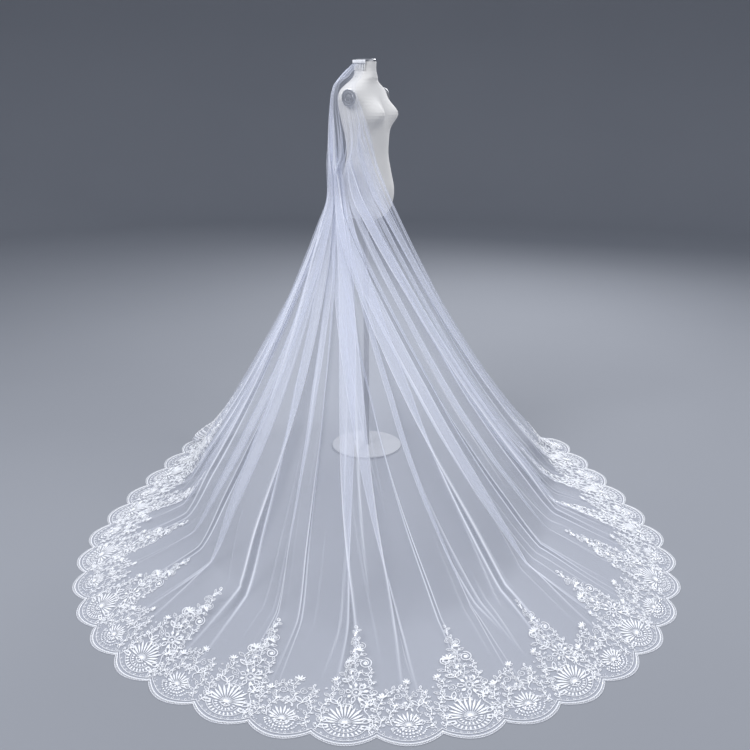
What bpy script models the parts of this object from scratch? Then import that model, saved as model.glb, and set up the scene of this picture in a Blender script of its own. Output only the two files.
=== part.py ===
"""Bridal veil on a limbless dress form, as a Blender 4.5 model in metres, +Z up.

The origin is on the floor, at the centre of the underside of the stand's base.
The veil hangs from the back of the form's neck, opens into a tent from the hips
to the floor and ends in a wide train towards -Y with a scalloped lace border.

The cloth is worked out from its cut and from the places where it is carried:
every lengthwise line of the cloth runs comb - shoulder - hip - floor - hem, and
across each row of the cloth a folding profile takes up the width that the row
has no room for.
"""
import math

import bmesh
import bpy
import numpy as np

SEAM_GAP = 0.0003
CLOTH_WALL = 0.0010
LACE_WALL = 0.0010

# The dress form faces this way in plan, and its right side faces -Y.
FORM_TURN = math.radians(-25.0)
FORM_FORWARD = np.array([math.cos(FORM_TURN), math.sin(FORM_TURN)])
FORM_RIGHT = np.array([FORM_FORWARD[1], -FORM_FORWARD[0]])

# Stand.
BASE_RADIUS = 0.165
BASE_THICK = 0.010
BASE_BEVEL = 0.003
POLE_RADIUS = 0.0125
COLLAR_RADIUS = 0.024
COLLAR_HEIGHT = 0.030

# Torso of the form.
FORM_BOTTOM = 1.090
NECK_TOP = 1.745
NECK_RADIUS = 0.046
NECK_CAP_THICK = 0.010
NECK_CAP_INSET = 0.002
ARM_PLANE = 0.166
ARM_HEIGHT = 1.604
ARM_FORWARD = 0.004
CAP_RADIUS = 0.035
CAP_NARROWING = 0.9
FORM_SIDES = 64
FORM_RING_STEP = 0.0125
BUST_HEIGHT = 1.537
BUST_APART = 0.078
BUST_RISE = 0.050
BUST_SPREAD_ACROSS = 0.050
BUST_SPREAD_UP = 0.045
BUST_ROUNDING = 0.5

# Sections of the torso, one row for each height.
# height, half width, depth in front, depth behind, shift forwards
TORSO_SECTIONS = (
    (1.090, 0.060, 0.045, 0.045, 0.010),
    (1.100, 0.100, 0.066, 0.066, 0.010),
    (1.125, 0.134, 0.086, 0.088, 0.010),
    (1.170, 0.152, 0.101, 0.102, 0.010),
    (1.220, 0.156, 0.106, 0.104, 0.008),
    (1.280, 0.142, 0.098, 0.094, 0.006),
    (1.370, 0.119, 0.086, 0.078, 0.006),
    (1.440, 0.126, 0.090, 0.082, 0.004),
    (1.510, 0.144, 0.090, 0.092, 0.000),
    (1.570, 0.160, 0.080, 0.096, -0.004),
    (1.604, 0.176, 0.070, 0.088, -0.006),
    (1.634, 0.164, 0.060, 0.074, -0.008),
    (1.652, 0.125, 0.054, 0.064, -0.008),
    (1.666, 0.088, 0.050, 0.056, -0.006),
    (1.682, 0.060, 0.050, 0.052, 0.000),
    (1.705, NECK_RADIUS, NECK_RADIUS, NECK_RADIUS, 0.000),
    (NECK_TOP, NECK_RADIUS, NECK_RADIUS, NECK_RADIUS, 0.000),
)

# Gather band and comb, wrapped round the back of the neck.
BAND_BOTTOM = 1.738
BAND_HEIGHT = 0.014
BAND_THICK = 0.006
BAND_FIRST_ANGLE = 25.0
BAND_LAST_ANGLE = 115.0
BAND_STEPS = 16
COMB_TEETH = 10
COMB_THICK = 0.0025
COMB_SPINE_HEIGHT = 0.006
COMB_TOOTH_LENGTH = 0.028
TULLE_TOP = BAND_BOTTOM - SEAM_GAP - 0.5 * CLOTH_WALL

# Turned rings of the arm caps, from the rim to the middle.
# share of the cap's radius, height above the seat
CAP_RINGS = (
    (1.00, 0.0000),
    (1.00, 0.0035),
    (0.94, 0.0045),
    (0.80, 0.0045),
    (0.75, 0.0030),
    (0.68, 0.0030),
    (0.63, 0.0050),
    (0.50, 0.0050),
    (0.45, 0.0028),
    (0.34, 0.0028),
    (0.28, 0.0056),
    (0.16, 0.0060),
)

# Where the hanging cloth is carried. The angles turn from straight behind the
# form (0) by its right side (90) to its front (180).
# height at the first edge, height at the last edge, reach to the side,
# reach behind, reach in front, angle of the first edge, angle of the last edge,
# deepest fold
HANGING_SECTIONS = (
    (TULLE_TOP, TULLE_TOP, 0.052, 0.052, 0.052, 27.0, 113.0, 0.0005),
    (1.700, 1.700, 0.088, 0.100, 0.074, 20.0, 117.0, 0.006),
    (1.645, 1.645, 0.190, 0.122, 0.105, 15.0, 122.0, 0.003),
    (1.560, 1.560, 0.197, 0.142, 0.126, 12.0, 134.0, 0.008),
    (1.460, 1.460, 0.198, 0.156, 0.144, 11.0, 145.0, 0.026),
    (1.330, 1.350, 0.198, 0.166, 0.153, 10.0, 146.0, 0.032),
    (1.150, 1.240, 0.204, 0.170, 0.185, 8.0, 152.0, 0.036),
)
EDGE_BIAS = 0.78

# Train: the hem is a half circle towards -Y whose ends run back beside the form.
HEM_CENTRE = np.array([0.045, -0.940])
HEM_RADIUS = 1.070
HEM_END_Y = 0.080
HEM_END_INSET = 0.210
HEM_TAPER_POWER = 1.4
OUTLINE_POINTS = 80
SCALLOPS = 30
SCALLOP_DEPTH = 0.038
SCALLOP_ROUNDING = 0.8

# The line where the tent meets the floor is half an ellipse.
CONTACT_CENTRE = np.array([0.020, 0.060])
CONTACT_HALF_WIDTH = 0.760
CONTACT_REACH = 1.430
TENT_SAG = 0.12
TENT_STEPS = 6

CLOTH_WIDTH = 4.20
CLOTH_FLARE = 1.5
FOLD_TURN_LIMIT = 1.15
FOLD_DEPTH_TENT = 0.085
FOLD_DEPTH_FLOOR = 0.030
FOLD_TRIES = 30
SLOPE_STEP = 0.010

# The main folds, one row each from the first side edge to the last.
# share of the width, strength at the floor
FOLDS = (
    (0.80, 0.60),
    (0.95, 0.85),
    (0.85, 0.70),
    (1.10, 1.00),
    (0.90, 0.75),
    (1.25, 1.25),
    (0.95, 0.80),
    (1.15, 1.10),
    (0.85, 0.75),
    (1.20, 1.20),
    (0.95, 0.85),
    (1.05, 1.00),
    (0.85, 0.70),
    (1.00, 0.90),
    (0.80, 0.60),
)

# Lace border.
SPRIGS = SCALLOPS // 2
LACE_BAND = 0.200
LACE_SPRIG = 0.230
LACE_SPRIG_POINT = 1.5
TULLE_HEM_BACK = 0.012
LACE_ROWS = 2
TENT_ROWS = 4
RESTING_HEIGHT = 0.0008
CORD_RADIUS = 0.0013
COLUMNS_PER_SCALLOP = 4


def clear_scene():
    for thing in list(bpy.data.objects):
        bpy.data.objects.remove(thing)


def finish(name, colour, roughness, metallic=0.0):
    """Return a new Principled material."""
    material = bpy.data.materials.new(name)
    material.use_nodes = True
    shader = material.node_tree.nodes["Principled BSDF"]
    shader.inputs["Base Color"].default_value = (*colour, 1.0)
    shader.inputs["Roughness"].default_value = roughness
    shader.inputs["Metallic"].default_value = metallic
    material.diffuse_color = (*colour, 1.0)
    return material


def add_object(name, vertices, faces, material, sharp_angle=None):
    """Make one mesh object with its faces turned outwards."""
    mesh = bpy.data.meshes.new(name)
    mesh.from_pydata([tuple(map(float, v)) for v in vertices], [], faces)
    shape = bmesh.new()
    shape.from_mesh(mesh)
    bmesh.ops.recalc_face_normals(shape, faces=shape.faces)
    shape.to_mesh(mesh)
    shape.free()
    mesh.materials.append(material)
    mesh.shade_smooth()
    if sharp_angle is not None:
        mesh.set_sharp_from_angle(angle=math.radians(sharp_angle))
    thing = bpy.data.objects.new(name, mesh)
    bpy.context.scene.collection.objects.link(thing)
    return thing


def smooth_curve(knots, values, at):
    """Read a smooth curve through values at knots, for the parameters in at."""
    slopes = np.gradient(values, knots, axis=0)
    seat = np.clip(np.searchsorted(knots, at, side="right") - 1, 0, len(knots) - 2)
    span = (knots[seat + 1] - knots[seat])[:, None]
    step = ((at - knots[seat]) / span[:, 0])[:, None]
    start, end = values[seat], values[seat + 1]
    leave, arrive = slopes[seat] * span, slopes[seat + 1] * span
    return (
        start * (1 + 2 * step) * (1 - step) ** 2
        + leave * step * (1 - step) ** 2
        + end * step**2 * (3 - 2 * step)
        + arrive * step**2 * (step - 1)
    )


def read_columns(at, knots, values):
    """Read every column of a table of values on straight lines between its knots."""
    return np.stack([np.interp(at, knots, column) for column in values.T], axis=1)


def running_length(points):
    """Return the length along a line of points, from 0 at the first."""
    steps = np.linalg.norm(np.diff(points, axis=0), axis=1)
    return np.concatenate([[0.0], np.cumsum(steps)])


def form_place(forward, right, height):
    """Turn the form's own forward and right distances into a point."""
    plan = forward * FORM_FORWARD + right * FORM_RIGHT
    return np.array([plan[0], plan[1], height])


# ---------------------------------------------------------------- dress form


def torso_ring(height, sides):
    """Return one level ring of the torso."""
    table = np.array(TORSO_SECTIONS)
    section = smooth_curve(table[:, 0], table[:, 1:], np.array([height]))[0]
    half_width, front, behind, shift = section
    ring = []
    for side in range(sides):
        turn = 2 * math.pi * side / sides
        depth = front if math.cos(turn) > 0 else behind
        right = half_width * math.sin(turn)
        forward = shift + depth * math.cos(turn)
        if math.cos(turn) > 0:
            across = (abs(right) - BUST_APART) / BUST_SPREAD_ACROSS
            up = (height - BUST_HEIGHT) / BUST_SPREAD_UP
            rise = BUST_RISE * math.exp(-(across**2) - up**2)
            forward += rise * math.cos(turn) ** BUST_ROUNDING
        right = max(-ARM_PLANE, min(ARM_PLANE, right))
        ring.append(form_place(forward, right, height))
    return ring


def loft(rings):
    """Join equal rings into a closed skin with flat end faces."""
    sides = len(rings[0])
    vertices = [point for ring in rings for point in ring]
    faces = []
    for level in range(len(rings) - 1):
        for side in range(sides):
            after = (side + 1) % sides
            low, high = level * sides, (level + 1) * sides
            faces.append((low + side, low + after, high + after, high + side))
    faces.append(tuple(range(sides)))
    faces.append(tuple((len(rings) - 1) * sides + side for side in range(sides)))
    return vertices, faces


def build_torso(material):
    levels = round((NECK_TOP - FORM_BOTTOM) / FORM_RING_STEP)
    heights = np.linspace(FORM_BOTTOM, NECK_TOP, levels + 1)
    vertices, faces = loft([torso_ring(height, FORM_SIDES) for height in heights])
    return add_object("form_torso", vertices, faces, material, 50)


def turned_piece(name, profile, place, sides, material):
    """Turn a profile of (radius, distance) pairs; place() maps each point."""
    rings = []
    for radius, distance in profile:
        ring = []
        for side in range(sides):
            turn = 2 * math.pi * side / sides
            ring.append(place(radius * math.cos(turn), radius * math.sin(turn), distance))
        rings.append(ring)
    vertices, faces = loft(rings)
    return add_object(name, vertices, faces, material, 35)


def upright(across, along, height):
    return np.array([across, along, height])


def build_stand(material):
    bevel = BASE_BEVEL
    base = [
        (BASE_RADIUS, 0.0),
        (BASE_RADIUS, BASE_THICK - bevel),
        (BASE_RADIUS - 0.3 * bevel, BASE_THICK - 0.3 * bevel),
        (BASE_RADIUS - bevel, BASE_THICK),
    ]
    turned_piece("stand_base", base, upright, 64, material)
    pole_top = FORM_BOTTOM - SEAM_GAP
    pole = [(POLE_RADIUS, BASE_THICK + SEAM_GAP), (POLE_RADIUS, pole_top)]
    turned_piece("stand_pole", pole, upright, 32, material)
    hole = POLE_RADIUS + SEAM_GAP
    low = pole_top - COLLAR_HEIGHT
    rings = [
        (hole, low),
        (COLLAR_RADIUS - bevel, low),
        (COLLAR_RADIUS, low + bevel),
        (COLLAR_RADIUS, pole_top),
        (hole, pole_top),
    ]
    build_sleeve("stand_collar", rings, 32, material)


def build_sleeve(name, profile, sides, material):
    """Turn a closed profile around Z into a ring with a hole."""
    vertices = []
    for radius, height in profile:
        for side in range(sides):
            turn = 2 * math.pi * side / sides
            vertices.append((radius * math.cos(turn), radius * math.sin(turn), height))
    faces = []
    count = len(profile)
    for row in range(count):
        below = (row + 1) % count
        for side in range(sides):
            after = (side + 1) % sides
            faces.append(
                (row * sides + side, row * sides + after, below * sides + after, below * sides + side)
            )
    return add_object(name, vertices, faces, material, 35)


def build_caps(material):
    """Add the plates that close the neck and the two arms."""
    radius = NECK_RADIUS - NECK_CAP_INSET
    low = NECK_TOP + SEAM_GAP
    high = low + NECK_CAP_THICK
    profile = [(radius, low), (radius, high - 0.003), (radius - 0.003, high)]
    turned_piece("neck_cap", profile, upright, 48, material)
    for name, side in (("arm_cap_right", 1.0), ("arm_cap_left", -1.0)):
        seat = ARM_PLANE + SEAM_GAP
        profile = [(CAP_RADIUS * share, seat + rise) for share, rise in CAP_RINGS]

        def place(across, up, distance, side=side):
            return form_place(ARM_FORWARD + CAP_NARROWING * across, side * distance, ARM_HEIGHT + up)

        turned_piece(name, profile, place, 40, material)


# ------------------------------------------------------------ drape of cloth


def hanging_point(section, sigma):
    """Return where the cloth is carried at one section, sigma across it."""
    first_height, last_height, side, behind, front, first, last, _ = section
    turn = math.radians(first + (last - first) * sigma**EDGE_BIAS)
    reach = behind if math.cos(turn) > 0 else front
    height = first_height + (last_height - first_height) * sigma
    return form_place(-reach * math.cos(turn), side * math.sin(turn), height)


def hem_outline(samples):
    """Return points of the hem's base line, evenly spaced from edge to edge."""
    run = HEM_END_Y - HEM_CENTRE[1]
    back = np.linspace(1.0, 0.0, OUTLINE_POINTS)[:-1]
    inset = HEM_END_INSET * back**HEM_TAPER_POWER
    first = np.stack([HEM_CENTRE[0] - HEM_RADIUS + inset, HEM_CENTRE[1] + run * back], axis=1)
    turn = np.linspace(math.pi, 2 * math.pi, 3 * OUTLINE_POINTS)
    front = HEM_CENTRE + HEM_RADIUS * np.stack([np.cos(turn), np.sin(turn)], axis=1)
    last = np.stack([2 * HEM_CENTRE[0] - first[::-1, 0], first[::-1, 1]], axis=1)
    outline = np.concatenate([first, front, last])
    length = running_length(outline)
    even = np.linspace(0.0, length[-1], samples)
    return read_columns(even, length, outline)


def contact_point(hem):
    """Return where the line of cloth that ends at this hem point meets the floor."""
    ray = hem - CONTACT_CENTRE
    away = np.linalg.norm(ray)
    reach = away / math.hypot(ray[0] / CONTACT_HALF_WIDTH, ray[1] / CONTACT_REACH)
    return CONTACT_CENTRE + ray / away * reach


class Drape:
    """Lengthwise lines of the cloth, from the comb to the hem.

    Each point of a line is (x, y, z, deepest fold, side), where side is -1 if
    the folds lie inside the line, 0 if half way and 1 if they stand on it.
    """

    LINES = 361
    POINTS = 300

    def __init__(self):
        self.sigma = np.linspace(0.0, 1.0, self.LINES)
        hem = hem_outline(self.LINES)
        made = [self.make_line(sigma, end) for sigma, end in zip(self.sigma, hem)]
        self.lines = np.array([line for line, _ in made])
        self.lengths = np.array([running_length(line[:, :3]) for line in self.lines])
        self.total = self.lengths[:, -1]
        shares = np.array([sections for _, sections in made])
        self.section_lengths = shares * self.total[:, None]

    def make_line(self, sigma, hem):
        """Return one line and the share of its length at each hanging section."""
        places = [
            (*hanging_point(section, sigma), section[-1], -1.0) for section in HANGING_SECTIONS
        ]
        hip = np.array(places[-1][:3])
        contact = contact_point(hem)
        for step in range(1, TENT_STEPS + 1):
            share = step / TENT_STEPS
            plan = hip[:2] + (contact - hip[:2]) * share
            height = hip[2] * (1 - share) * (1 - TENT_SAG * share)
            deepest = FOLD_DEPTH_TENT if step < TENT_STEPS else FOLD_DEPTH_FLOOR
            places.append((*plan, height, deepest, share if step < TENT_STEPS else 1.0))
        middle = 0.5 * (contact + hem)
        places.append((*middle, 0.0, 0.25 * FOLD_DEPTH_FLOOR, 1.0))
        places.append((*hem, 0.0, 0.0, 1.0))
        places = np.array(places)
        knots = running_length(places[:, :3])
        line = smooth_curve(knots, places, np.linspace(0.0, knots[-1], self.POINTS))
        line[:, 2:4] = np.maximum(line[:, 2:4], 0.0)
        return line, knots[: len(HANGING_SECTIONS)] / knots[-1]

    def row_at(self, distance):
        """Return the line data at this distance from the comb on every line."""
        row = [
            read_columns(np.array([far]), length, line)[0]
            for far, length, line in zip(distance, self.lengths, self.lines)
        ]
        return np.array(row)


def fold_row(sigma, room, lowness):
    """Return how far each point moves along its row, and out of it, as cloth folds.

    room is the length that the row has, over the width of the cloth there, and
    lowness runs from 0 at the hips to 1 at the floor.
    """
    shares = np.array([fold[0] for fold in FOLDS])
    ends = np.concatenate([[0.0], np.cumsum(shares)]) / shares.sum()
    phase = np.interp(sigma, ends, np.arange(len(FOLDS) + 1))
    strength = 1.0 + (np.array([fold[1] for fold in FOLDS]) - 1.0) * lowness
    own = strength[np.minimum(phase.astype(int), len(FOLDS) - 1)]
    wave = np.sin(2 * math.pi * phase)

    def lean(turn):
        return np.minimum(turn * own, FOLD_TURN_LIMIT) * wave

    low, high = 0.0, 2.0
    for _ in range(FOLD_TRIES):
        middle = 0.5 * (low + high)
        if np.cos(lean(middle)).mean() > room:
            low = middle
        else:
            high = middle
    along = running_sum(np.cos(lean(low)), sigma)
    return along / along[-1], running_sum(np.sin(lean(low)), sigma)


def running_sum(values, at):
    """Return the integral of values over at, from 0 at the first."""
    steps = 0.5 * (values[1:] + values[:-1]) * np.diff(at)
    return np.concatenate([[0.0], np.cumsum(steps)])


def unit(vectors):
    return vectors / np.linalg.norm(vectors, axis=-1, keepdims=True)


def panel_row(drape, distance, columns):
    """Return the folded row of cloth at this distance from the comb."""
    sigma = drape.sigma
    row = drape.row_at(distance)
    ahead = drape.row_at(np.minimum(distance + SLOPE_STEP, drape.total))
    behind = drape.row_at(np.maximum(distance - SLOPE_STEP, 0.0))
    across = np.gradient(row[:, :3], axis=0)
    outward = unit(np.cross(ahead[:, :3] - behind[:, :3], across))
    share = (distance / drape.total).mean()
    hem_length = running_length(hem_outline(len(sigma)))[-1]
    width = CLOTH_WIDTH + (hem_length - CLOTH_WIDTH) * share**CLOTH_FLARE
    room = running_length(row[:, :3])[-1] / width
    hip_share = (drape.section_lengths[:, -1] / drape.total).mean()
    lowness = min(1.0, max(0.0, (share - hip_share) / (1.0 - hip_share)))
    along, rise = fold_row(sigma, room, lowness)
    rise = rise * width
    tallest = max(rise.max(), 1e-6)
    flat = read_columns(along, sigma, row)
    normal = unit(read_columns(along, sigma, outward))
    squash = np.minimum(1.0, flat[:, 3] / tallest)
    seat = 0.5 * (flat[:, 4] - 1.0) * squash * tallest
    points = flat[:, :3] + normal * (rise * squash + seat)[:, None]
    return read_columns(columns, sigma, points)


def lace_reach(sigma):
    """Return how far the lace runs in from the hem: a sprig on every second scallop."""
    swell = 0.5 - 0.5 * np.cos(2 * math.pi * SPRIGS * sigma)
    return LACE_BAND + LACE_SPRIG * swell**LACE_SPRIG_POINT


def panel_rows(drape, columns):
    """Return the rows of the tulle panel, comb first; the last ones carry the lace."""
    distances = list(drape.section_lengths.T)
    start = drape.section_lengths[:, -1]
    hem = drape.total - TULLE_HEM_BACK
    reach = lace_reach(drape.sigma)
    end = hem - reach
    for step in range(1, TENT_ROWS):
        distances.append(start + (end - start) * step / TENT_ROWS)
    for step in range(LACE_ROWS + 1):
        distances.append(end + reach * step / LACE_ROWS)
    return np.array([panel_row(drape, distance, columns) for distance in distances])


def grid_normals(grid):
    """Return the unit normals of a grid of points, out of the cloth."""
    down = np.gradient(grid, axis=0)
    across = np.gradient(grid, axis=1)
    return unit(np.cross(down, across))


def closed_plate(name, inner, outer, cells, material, sharp_angle=60):
    """Make a closed wall from two lists of points and the cells that they share."""
    shift = len(inner)
    faces = [tuple(cell) for cell in cells]
    faces += [tuple(shift + corner for corner in reversed(cell)) for cell in cells]
    edges = set()
    for cell in cells:
        edges.update(zip(cell, (*cell[1:], cell[0])))
    for first, second in sorted(edges):
        if (second, first) not in edges:
            faces.append((second, first, shift + first, shift + second))
    return add_object(name, np.concatenate([inner, outer]), faces, material, sharp_angle)


def grid_cells(rows, columns):
    """Return the cells of a grid whose points are numbered row by row."""
    cells = []
    for row in range(rows - 1):
        for column in range(columns - 1):
            corner = row * columns + column
            cells.append((corner, corner + 1, corner + columns + 1, corner + columns))
    return cells


def grid_wall(name, inner, outer, material):
    """Make a closed wall between two equal grids of points.

    Every cell is split along the same diagonal, so that two walls made from
    the same points lie flat on each other.
    """
    cells = []
    for first, second, third, fourth in grid_cells(*inner.shape[:2]):
        cells.append((first, second, third))
        cells.append((first, third, fourth))
    return closed_plate(name, inner.reshape(-1, 3), outer.reshape(-1, 3), cells, material)


def around_neck(radius, angle, height):
    """Return a point round the neck, the angle turning from behind to the right."""
    turn = math.radians(angle)
    return form_place(-radius * math.cos(turn), radius * math.sin(turn), height)


def build_comb(material):
    """Add the comb: a spine against the neck with teeth that point down."""
    angles = np.linspace(BAND_FIRST_ANGLE + 2, BAND_LAST_ANGLE - 2, 2 * COMB_TEETH)
    top = BAND_BOTTOM + COMB_SPINE_HEIGHT
    heights = (top, BAND_BOTTOM, BAND_BOTTOM - COMB_TOOTH_LENGTH)
    near = NECK_RADIUS + SEAM_GAP
    inner, outer = (
        np.array([around_neck(radius, angle, height) for height in heights for angle in angles])
        for radius in (near, near + COMB_THICK)
    )
    cells = grid_cells(len(heights), len(angles))
    spine = cells[: len(angles) - 1]
    teeth = cells[len(angles) - 1 :: 2]
    closed_plate("comb", inner, outer, spine + teeth, material, 40)


def build_band(material):
    """Add the band that holds the gathers on the comb."""
    angles = np.linspace(BAND_FIRST_ANGLE, BAND_LAST_ANGLE, BAND_STEPS + 1)
    heights = (BAND_BOTTOM + BAND_HEIGHT, BAND_BOTTOM)
    near = NECK_RADIUS + COMB_THICK + 2 * SEAM_GAP
    inner, outer = (
        np.array([around_neck(radius, angle, height) for height in heights for angle in angles])
        for radius in (near, near + BAND_THICK)
    )
    closed_plate("gather_band", inner, outer, grid_cells(2, len(angles)), material, 40)


def build_cord(edge, out, material):
    """Add the cord that lies along the scalloped edge of the lace."""
    centre = edge + out * (CORD_RADIUS + SEAM_GAP)
    rings = []
    for plan, side in zip(centre, out):
        across = np.array([*side, 0.0]) * CORD_RADIUS
        up = np.array([0.0, 0.0, CORD_RADIUS])
        middle = np.array([*plan, CORD_RADIUS])
        rings.append([middle - across, middle - up, middle + across, middle + up])
    vertices, faces = loft(rings)
    add_object("scallop_cord", vertices, faces, material)


def build_cloth(tulle, lace, satin):
    columns = np.linspace(0.0, 1.0, SCALLOPS * COLUMNS_PER_SCALLOP + 1)
    drape = Drape()
    middle = panel_rows(drape, columns)
    normals = grid_normals(middle)
    normals[0, :, 2] = 0.0
    normals[0] = unit(normals[0])
    half = 0.5 * CLOTH_WALL
    resting = middle[:, :, 2] < RESTING_HEIGHT
    normals[resting] = (0.0, 0.0, 1.0)
    middle[:, :, 2] = np.where(resting, half, middle[:, :, 2] + half)
    inner = middle - half * normals
    outer = middle + half * normals
    grid_wall("tulle_panel", inner, outer, tulle)

    under = outer[-LACE_ROWS - 1 :] + SEAM_GAP * normals[-LACE_ROWS - 1 :]
    hem = hem_outline(len(columns))
    out = unit(np.gradient(hem, axis=0)) @ np.array([[0.0, -1.0], [1.0, 0.0]])
    swell = np.abs(np.sin(math.pi * SCALLOPS * columns)) ** SCALLOP_ROUNDING
    level = CLOTH_WALL + SEAM_GAP
    edge = hem + out * (SCALLOP_DEPTH * swell)[:, None]
    edge_row = np.column_stack([edge, np.full(len(columns), level)])
    under = np.concatenate([under, edge_row[None]])
    lace_normals = np.concatenate([normals[-LACE_ROWS - 1 :], normals[-1:]])
    grid_wall("lace_border", under, under + LACE_WALL * lace_normals, lace)
    build_cord(edge, out, satin)


def main():
    clear_scene()
    jersey = finish("form_jersey", (0.82, 0.82, 0.83), 0.85)
    plate = finish("form_plate", (0.55, 0.56, 0.58), 0.35, 0.6)
    steel = finish("stand_steel", (0.80, 0.80, 0.80), 0.40)
    tulle = finish("tulle", (0.80, 0.82, 0.88), 0.80)
    lace = finish("lace", (0.92, 0.92, 0.94), 0.75)
    satin = finish("satin", (0.95, 0.95, 0.96), 0.45)
    build_torso(jersey)
    build_caps(plate)
    build_stand(steel)
    build_cloth(tulle, lace, satin)
    build_comb(steel)
    build_band(satin)


main()
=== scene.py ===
"""Bridal veil on a limbless dress form: the finished look of the part.

A wide piece of tulle is gathered on a comb at the back of the form's neck. It
falls over the right shoulder, opens into a tent from the hips to the floor and
lies there as a round train with an embroidered, scalloped border.
"""
import logging
import math
from collections.abc import Callable, Iterable, Sequence
from dataclasses import dataclass, field

import bpy
import numpy as np
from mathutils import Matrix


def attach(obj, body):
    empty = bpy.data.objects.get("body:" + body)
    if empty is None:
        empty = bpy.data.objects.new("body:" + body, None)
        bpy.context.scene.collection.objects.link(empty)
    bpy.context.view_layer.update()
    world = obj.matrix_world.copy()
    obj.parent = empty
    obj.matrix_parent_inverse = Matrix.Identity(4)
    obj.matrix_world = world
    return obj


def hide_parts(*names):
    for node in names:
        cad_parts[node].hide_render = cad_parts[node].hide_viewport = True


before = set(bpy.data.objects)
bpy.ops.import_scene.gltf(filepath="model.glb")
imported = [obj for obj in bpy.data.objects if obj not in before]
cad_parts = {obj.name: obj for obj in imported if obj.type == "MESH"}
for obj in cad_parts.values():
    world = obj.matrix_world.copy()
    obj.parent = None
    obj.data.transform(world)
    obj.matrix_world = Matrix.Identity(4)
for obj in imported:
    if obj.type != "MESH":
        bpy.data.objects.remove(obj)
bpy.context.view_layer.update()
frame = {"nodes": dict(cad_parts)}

LOG = logging.getLogger("bridal_veil")
BODY = "root"
Number = float | int
Points = np.ndarray
Faces = list[tuple[int, ...]]


# --------------------------------------------------------------- shader tools


class Wire:
    """A socket that takes part in sums; each operator adds a Math node."""

    def __init__(self, paint: "Paint", socket: bpy.types.NodeSocket) -> None:
        """Keep the material being painted and the socket."""
        self.paint = paint
        self.socket = socket

    def _sum(self, operation: str, *values: "Wire | Number", clamp: bool = False) -> "Wire":
        """Add one Math node.

        Args:
            operation: the Math node's operation.
            values: its inputs in order.
            clamp: whether the result is kept between 0 and 1.

        Returns:
            The node's result.
        """
        settings = {"operation": operation, "use_clamp": clamp}
        return self.paint.node("ShaderNodeMath", settings, dict(enumerate(values)))

    def __add__(self, other: "Wire | Number") -> "Wire":
        """Return self + other."""
        return self._sum("ADD", self, other)

    __radd__ = __add__

    def __sub__(self, other: "Wire | Number") -> "Wire":
        """Return self - other."""
        return self._sum("SUBTRACT", self, other)

    def __rsub__(self, other: "Wire | Number") -> "Wire":
        """Return other - self."""
        return self._sum("SUBTRACT", other, self)

    def __mul__(self, other: "Wire | Number") -> "Wire":
        """Return self * other."""
        return self._sum("MULTIPLY", self, other)

    __rmul__ = __mul__

    def clamped(self) -> "Wire":
        """Return the value kept between 0 and 1."""
        return self._sum("ADD", self, 0.0, clamp=True)


class Paint:
    """The node tree of one material, with a Principled shader at its end."""

    def __init__(self, name: str) -> None:
        """Start a material that holds only its shader and output.

        Args:
            name: the material's name.
        """
        self.material = bpy.data.materials.new(name)
        self.material.use_nodes = True
        self.tree = self.material.node_tree
        self.shader = self.tree.nodes["Principled BSDF"]

    def plug(self, socket: bpy.types.NodeSocket, value: object) -> None:
        """Link a wire to a socket, or set the socket's own value.

        Args:
            socket: the input.
            value: a wire, or the socket's new value.
        """
        if isinstance(value, Wire):
            self.tree.links.new(value.socket, socket)
        else:
            socket.default_value = value

    def node(
        self,
        kind: str,
        settings: dict[str, object] | None = None,
        sockets: dict[str | int, object] | None = None,
        output: str | int = 0,
    ) -> Wire:
        """Add any node.

        Args:
            kind: the node's type.
            settings: its properties, which are set first.
            sockets: values or wires for its inputs.
            output: the output that is returned.

        Returns:
            That output as a wire.
        """
        made = self.tree.nodes.new(kind)
        for name, value in (settings or {}).items():
            setattr(made, name, value)
        for key, value in (sockets or {}).items():
            self.plug(made.inputs[key], value)
        return Wire(self, made.outputs[output])

    def place(self) -> Wire:
        """Return the object's own coordinates."""
        return self.node("ShaderNodeTexCoord", output="Object")

    def attribute(self, name: str) -> Wire:
        """Return a vector that the mesh carries."""
        return self.node("ShaderNodeAttribute", {"attribute_name": name}, output="Vector")

    def attribute_value(self, name: str) -> Wire:
        """Return a number that the mesh carries."""
        return self.node("ShaderNodeAttribute", {"attribute_name": name}, output="Fac")

    def noise(self, vector: Wire, scale: float, detail: float = 2.0) -> Wire:
        """Return soft noise over a vector."""
        sockets = {"Vector": vector, "Scale": scale, "Detail": detail}
        return self.node("ShaderNodeTexNoise", None, sockets)

    def stretched(self, vector: Wire, scale: tuple[float, float, float]) -> Wire:
        """Return a vector with each part multiplied."""
        sockets = {0: vector, 1: scale}
        return self.node("ShaderNodeVectorMath", {"operation": "MULTIPLY"}, sockets)

    def blend(self, share: Wire, first: Sequence[float], second: Sequence[float]) -> Wire:
        """Return a colour between two colours.

        Args:
            share: 0 for the first colour, 1 for the second.
            first: a colour.
            second: a colour.

        Returns:
            The mixed colour.
        """
        made = self.tree.nodes.new("ShaderNodeMix")
        made.data_type = "RGBA"
        self.plug(made.inputs[0], share)
        made.inputs[6].default_value = (*first, 1.0)
        made.inputs[7].default_value = (*second, 1.0)
        return Wire(self, made.outputs[2])

    def bump(self, height: Wire, distance: float, strength: float = 1.0) -> Wire:
        """Return a normal roughened by a height in metres of the given distance."""
        sockets = {"Height": height, "Distance": distance, "Strength": strength}
        return self.node("ShaderNodeBump", None, sockets)

    def finish(self, **sockets: object) -> bpy.types.Material:
        """Set the Principled shader's sockets by name and return the material.

        Args:
            sockets: values or wires by socket name, with _ for a space.

        Returns:
            The finished material.
        """
        for name, value in sockets.items():
            self.plug(self.shader.inputs[name.replace("_", " ")], value)
        return self.material


# ------------------------------------------------------------------- finishes

Colour = tuple[float, float, float]


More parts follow.
